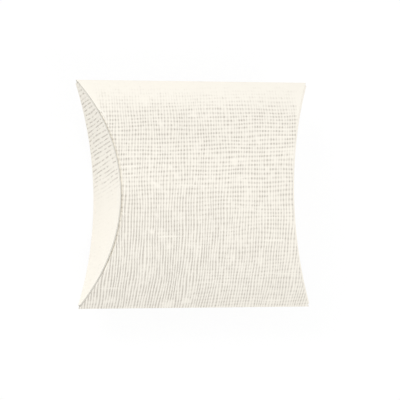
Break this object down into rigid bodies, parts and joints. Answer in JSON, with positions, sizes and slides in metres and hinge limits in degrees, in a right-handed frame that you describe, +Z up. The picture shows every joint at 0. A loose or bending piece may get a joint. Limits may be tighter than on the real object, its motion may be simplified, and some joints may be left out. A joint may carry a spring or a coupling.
{
  "type": "pillow box",
  "caption": "Ivory linen-embossed card pillow box: a tube of lens section, its ends closed by curved flaps that fold in along arched creases, with an inner flap behind each outer one.",
  "frame": {"origin": "on the ground under the middle of the box, where the back panel's belly touches it", "axes": "+X along the tube towards its right end, +Y across the tube away from the glued seam, +Z up from the back belly to the front belly"},
  "size_m": [0.0698, 0.0646, 0.024],
  "materials": {
    "linen_card": "ivory white uncoated card, embossed with a linen texture on the outside",
    "dried_glue": "thin film of dried white glue"
  },
  "bodies": {
    "tube": {"front_panel": "linen_card", "back_panel": "linen_card", "glue_flap": "linen_card", "glue_line": "dried_glue"},
    "left_outer_flap": {"left_outer_flap": "linen_card"},
    "left_inner_flap": {"left_inner_flap": "linen_card"},
    "right_outer_flap": {"right_outer_flap": "linen_card"},
    "right_inner_flap": {"right_inner_flap": "linen_card"}
  },
  "joints": [
    {"name": "left_outer_crease", "type": "hinge", "parent": "tube", "child": "left_outer_flap", "pos_m": [-0.0262, 0, 0], "axis": [0, -1, 0], "range_deg": [0, 90]},
    {"name": "left_inner_crease", "type": "hinge", "parent": "tube", "child": "left_inner_flap", "pos_m": [-0.0252, 0, 0.024], "axis": [0, 1, 0], "range_deg": [0, 90]},
    {"name": "right_outer_crease", "type": "hinge", "parent": "tube", "child": "right_outer_flap", "pos_m": [0.0262, 0, 0.024], "axis": [0, -1, 0], "range_deg": [0, 90]},
    {"name": "right_inner_crease", "type": "hinge", "parent": "tube", "child": "right_inner_flap", "pos_m": [0.0252, 0, 0], "axis": [0, 1, 0], "range_deg": [0, 90]}
  ],
  "couplings": [
    {"joint": "left_inner_crease", "follows": "left_outer_crease", "ratio": 1},
    {"joint": "right_inner_crease", "follows": "right_outer_crease", "ratio": 1}
  ]
}
